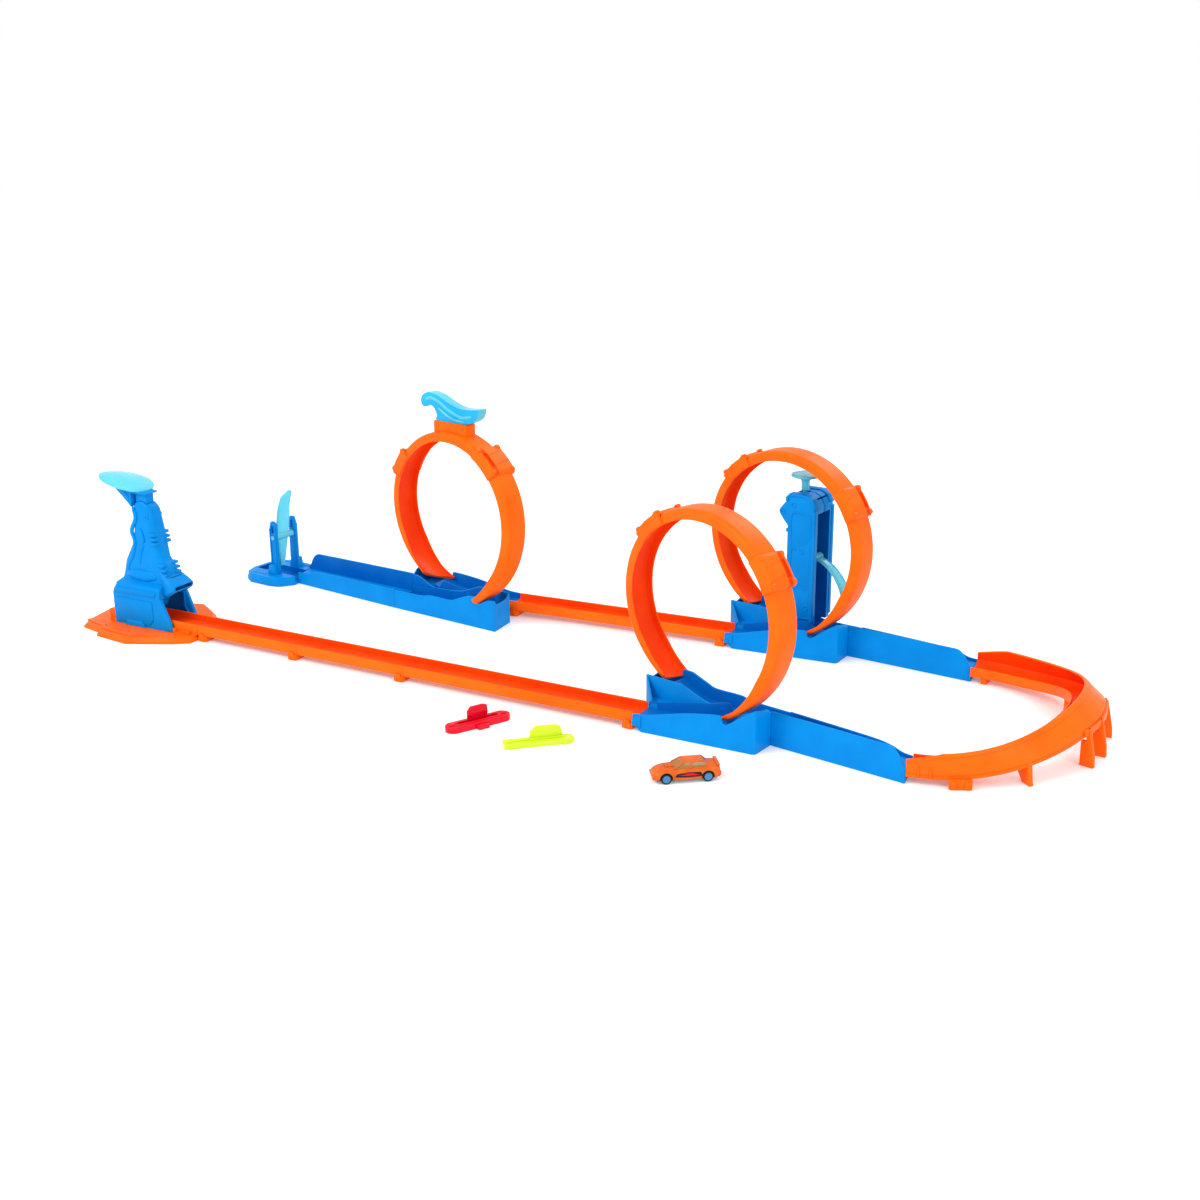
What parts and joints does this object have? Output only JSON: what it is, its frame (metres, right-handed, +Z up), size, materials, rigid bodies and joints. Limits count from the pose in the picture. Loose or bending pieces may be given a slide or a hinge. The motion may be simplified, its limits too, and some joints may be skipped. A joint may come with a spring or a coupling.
{
  "type": "toy car track set",
  "caption": "Toy car track set: a slam launcher sends a car through corkscrew loops, round a banked bend, past a booster tower and into a finish gate.",
  "frame": {"origin": "on the floor, under the middle of the whole layout", "axes": "+X along the front line from the launcher to the bend, +Y towards the rear line, +Z up"},
  "size_m": [1.4879, 0.5951, 0.341],
  "materials": {
    "orange": "satin moulded",
    "blue": "satin moulded",
    "cyan": "translucent moulded",
    "steel": "plain",
    "car_paint": "gloss enamel",
    "car_glass": "tinted clear",
    "car_black": "matt",
    "tyre": "black with blue rims",
    "red_clear": "translucent moulded",
    "lime_clear": "translucent moulded"
  },
  "bodies": {
    "track": {"front_track_long": "orange", "front_track_middle": "orange", "front_track_start": "orange", "rear_track_long": "orange", "track_connectors": "orange", "loop_1_base": "blue", "loop_1_chute": "blue", "loop_1_strip_rising": "orange", "loop_1_strip_top": "orange", "loop_1_strip_falling": "orange", "loop_1_couplers": "orange", "loop_2_base": "blue", "loop_2_chute": "blue", "loop_2_strip_rising": "orange", "loop_2_strip_top": "orange", "loop_2_strip_falling": "orange", "loop_2_couplers": "orange", "loop_3_base": "blue", "loop_3_chute": "blue", "loop_3_strip_rising": "orange", "loop_3_strip_top": "orange", "loop_3_strip_falling": "orange", "loop_3_couplers": "orange", "uturn_near_half": "orange", "uturn_far_half": "orange", "uturn_stand": "orange", "launcher_base": "orange", "launcher_shell_near": "blue", "launcher_shell_far": "blue", "launcher_screws": "steel", "launcher_pivot_pin": "steel", "launcher_spring": "steel", "booster_shell_near": "blue", "booster_shell_far": "blue", "booster_screws": "steel", "booster_pivot_pin": "steel", "booster_spring": "steel", "wave_pedestal": "orange", "wave_ornament": "cyan", "finish_gate_base": "blue"},
    "slam_pad": {"launcher_slam_pad": "cyan"},
    "launch_kicker": {"launcher_kicker": "blue"},
    "boost_button": {"booster_button": "cyan"},
    "boost_kicker": {"booster_kicker": "cyan"},
    "fin": {"finish_fin": "cyan"},
    "car": {"car_body": "car_paint", "car_windows": "car_glass", "car_chassis": "car_black"},
    "car_front": {"car_front_axle": "steel", "car_front_wheels": "tyre"},
    "car_rear": {"car_rear_axle": "steel", "car_rear_wheels": "tyre"},
    "red_clip_body": {"red_clip": "red_clear"},
    "lime_clip_body": {"lime_clip": "lime_clear"}
  },
  "joints": [
    {"name": "launcher_press", "type": "slide", "parent": "track", "child": "slam_pad", "axis": [0, 0, -1], "range_m": [0, 0.01], "stiffness_N_per_m": 250, "springref_m": -0.006, "deforming": ["launcher_spring"]},
    {"name": "launcher_kick", "type": "hinge", "parent": "track", "child": "launch_kicker", "pos_m": [-0.603, -0.133, 0.098], "axis": [0, -1, 0], "range_deg": [0, 26.6]},
    {"name": "booster_press", "type": "slide", "parent": "track", "child": "boost_button", "axis": [0, 0, -1], "range_m": [0, 0.015], "stiffness_N_per_m": 200, "springref_m": -0.006, "deforming": ["booster_spring"]},
    {"name": "booster_kick", "type": "hinge", "parent": "track", "child": "boost_kicker", "pos_m": [0.2784, 0.25899, 0.128], "axis": [-0.1219, -0.9925, 0], "range_deg": [0, 44.4]},
    {"name": "finish_flip", "type": "hinge", "parent": "track", "child": "fin", "pos_m": [-0.6103, 0.15223, 0.074], "axis": [-0.108, -0.9942, 0], "range_deg": [-60, 60]},
    {"name": "car_lift", "type": "slide", "parent": "track", "child": "car", "axis": [0, 0, 1], "range_m": [0, 0.05]},
    {"name": "car_front_roll", "type": "hinge", "parent": "car", "child": "car_front", "pos_m": [0.3023, -0.27139, 0.0065], "axis": [0.6157, -0.788, 0], "continuous": true},
    {"name": "car_rear_roll", "type": "hinge", "parent": "car", "child": "car_rear", "pos_m": [0.3417, -0.24061, 0.0065], "axis": [0.6157, -0.788, 0], "continuous": true},
    {"name": "red_clip_lift", "type": "slide", "parent": "track", "child": "red_clip_body", "axis": [0, 0, 1], "range_m": [0, 0.04]},
    {"name": "lime_clip_lift", "type": "slide", "parent": "track", "child": "lime_clip_body", "axis": [0, 0, 1], "range_m": [0, 0.04]}
  ],
  "couplings": [
    {"joint": "launcher_kick", "follows": "launcher_press", "rad_per_m": 45.855},
    {"joint": "booster_kick", "follows": "booster_press", "rad_per_m": 51.253}
  ]
}
